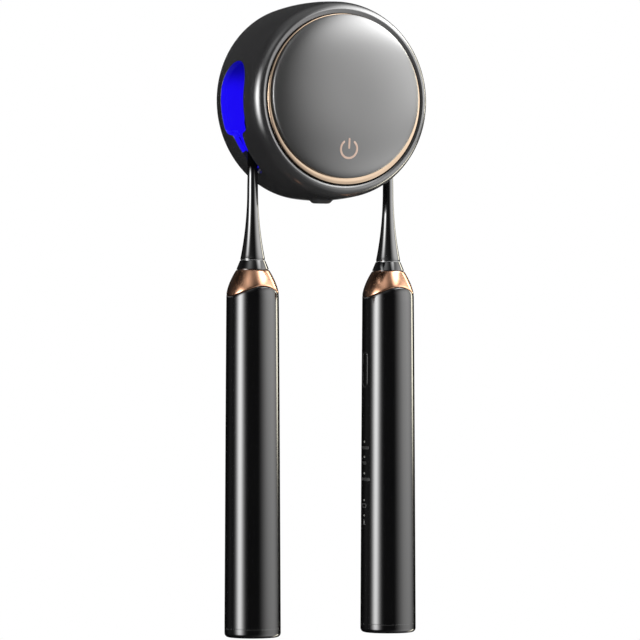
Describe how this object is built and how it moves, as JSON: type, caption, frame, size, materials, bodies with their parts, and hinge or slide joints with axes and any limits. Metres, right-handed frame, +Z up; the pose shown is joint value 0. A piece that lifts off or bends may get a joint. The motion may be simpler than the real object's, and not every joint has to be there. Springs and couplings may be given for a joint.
{
  "type": "wall-mounted toothbrush steriliser with two electric toothbrushes",
  "caption": "Round wall-mounted UV toothbrush holder with a domed cover, gold trim ring and side slots; two slim sonic toothbrushes hang in it by their heads.",
  "frame": {"origin": "centre of the adhesive pad where it meets the wall, on the axis of the round steriliser", "axes": "+Z up along the hanging brushes, +Y into the wall along the steriliser axis, +X to the viewer's right"},
  "size_m": [0.0998, 0.0508, 0.3035],
  "materials": {
    "gunmetal": "satin metallic dark grey lacquer on moulded plastic",
    "cover_grey": "pearl grey lacquer, satin, slightly metallic",
    "champagne_metal": "champagne gold anodised, fine concentric turning marks",
    "rose_gold": "polished rose gold plating",
    "gloss_black": "piano black lacquer",
    "black_chrome": "black chrome plating",
    "dark_plastic": "fine textured dark plastic",
    "grey_plastic": "plain moulded plastic",
    "liner_blue": "reflective chamber wall lit blue",
    "quartz": "clear UV window",
    "symbol_copper": "copper coloured translucent symbol",
    "steel": "plain steel",
    "circuit_board": "green solder mask",
    "copper": "enamelled copper wire",
    "cell_wrap": "blue shrink wrap on a lithium cell",
    "rubber": "dark silicone",
    "white_foam": "double-sided foam tape",
    "bristle_white": "soft nylon bristles",
    "light_pipe": "milky light pipe"
  },
  "bodies": {
    "wall_bracket": {"adhesive_pad": "white_foam", "wall_plate": "grey_plastic"},
    "steriliser": {"rear_cover": "dark_plastic", "shell": "gunmetal", "trim_ring": "champagne_metal", "front_cover": "cover_grey", "symbol_light_guide": "symbol_copper", "front_frame": "grey_plastic", "touch_board": "circuit_board", "main_board": "circuit_board", "battery_holder": "dark_plastic", "battery_cell": "cell_wrap", "charging_socket": "steel", "socket_board": "circuit_board", "rear_screw_1": "steel", "rear_screw_2": "steel", "rear_screw_3": "steel", "rear_screw_4": "steel", "left_chamber_liner": "liner_blue", "left_uv_lens": "quartz", "left_uv_board": "circuit_board", "right_chamber_liner": "liner_blue", "right_uv_lens": "quartz", "right_uv_board": "circuit_board"},
    "port_cover": {"port_cover": "rubber"},
    "left_brush_head": {"left_head": "gloss_black", "left_bristles": "bristle_white"},
    "left_shaft": {"left_drive_shaft": "steel"},
    "left_handle": {"left_shaft_seal": "rubber", "left_nose": "black_chrome", "left_collar": "rose_gold", "left_handle_shell": "gloss_black", "left_light_guide": "light_pipe", "left_chassis": "grey_plastic", "left_motor": "steel", "left_cell": "cell_wrap", "left_control_board": "circuit_board", "left_base_cap": "gloss_black", "left_base_seal": "rubber", "left_charging_coil": "copper"},
    "left_mode_button": {"left_button": "gloss_black"},
    "right_brush_head": {"right_head": "gloss_black", "right_bristles": "bristle_white"},
    "right_shaft": {"right_drive_shaft": "steel"},
    "right_handle": {"right_shaft_seal": "rubber", "right_nose": "black_chrome", "right_collar": "rose_gold", "right_handle_shell": "gloss_black", "right_light_guide": "light_pipe", "right_chassis": "grey_plastic", "right_motor": "steel", "right_cell": "cell_wrap", "right_control_board": "circuit_board", "right_base_cap": "gloss_black", "right_base_seal": "rubber", "right_charging_coil": "copper"},
    "right_mode_button": {"right_button": "gloss_black"}
  },
  "joints": [
    {"name": "steriliser_lift", "type": "slide", "parent": "wall_bracket", "child": "steriliser", "axis": [0, 0, 1], "range_m": [0, 0.009]},
    {"name": "port_cover_pull", "type": "slide", "parent": "steriliser", "child": "port_cover", "axis": [0, 0, -1], "range_m": [0, 0.008]},
    {"name": "left_brush_lift_out", "type": "slide", "parent": "steriliser", "child": "left_brush_head", "axis": [-0.9511, 0, 0.309], "range_m": [0, 0.045]},
    {"name": "left_handle_pull", "type": "slide", "parent": "left_brush_head", "child": "left_shaft", "axis": [0, 0, -1], "range_m": [0, 0.02]},
    {"name": "left_shaft_oscillation", "type": "hinge", "parent": "left_shaft", "child": "left_handle", "pos_m": [-0.0365, -0.01975, -0.09], "axis": [0, 0, 1], "range_deg": [-4, 4], "stiffness_Nm_per_rad": 0.05},
    {"name": "left_button_press", "type": "slide", "parent": "left_handle", "child": "left_mode_button", "axis": [-1, 0, 0], "range_m": [0, 0.0007], "stiffness_N_per_m": 800},
    {"name": "right_brush_lift_out", "type": "slide", "parent": "steriliser", "child": "right_brush_head", "axis": [0.9511, 0, 0.309], "range_m": [0, 0.045]},
    {"name": "right_handle_pull", "type": "slide", "parent": "right_brush_head", "child": "right_shaft", "axis": [0, 0, -1], "range_m": [0, 0.02]},
    {"name": "right_shaft_oscillation", "type": "hinge", "parent": "right_shaft", "child": "right_handle", "pos_m": [0.0365, -0.01975, -0.09], "axis": [0, 0, 1], "range_deg": [-4, 4], "stiffness_Nm_per_rad": 0.05},
    {"name": "right_button_press", "type": "slide", "parent": "right_handle", "child": "right_mode_button", "axis": [1, 0, 0], "range_m": [0, 0.0007], "stiffness_N_per_m": 800}
  ]
}
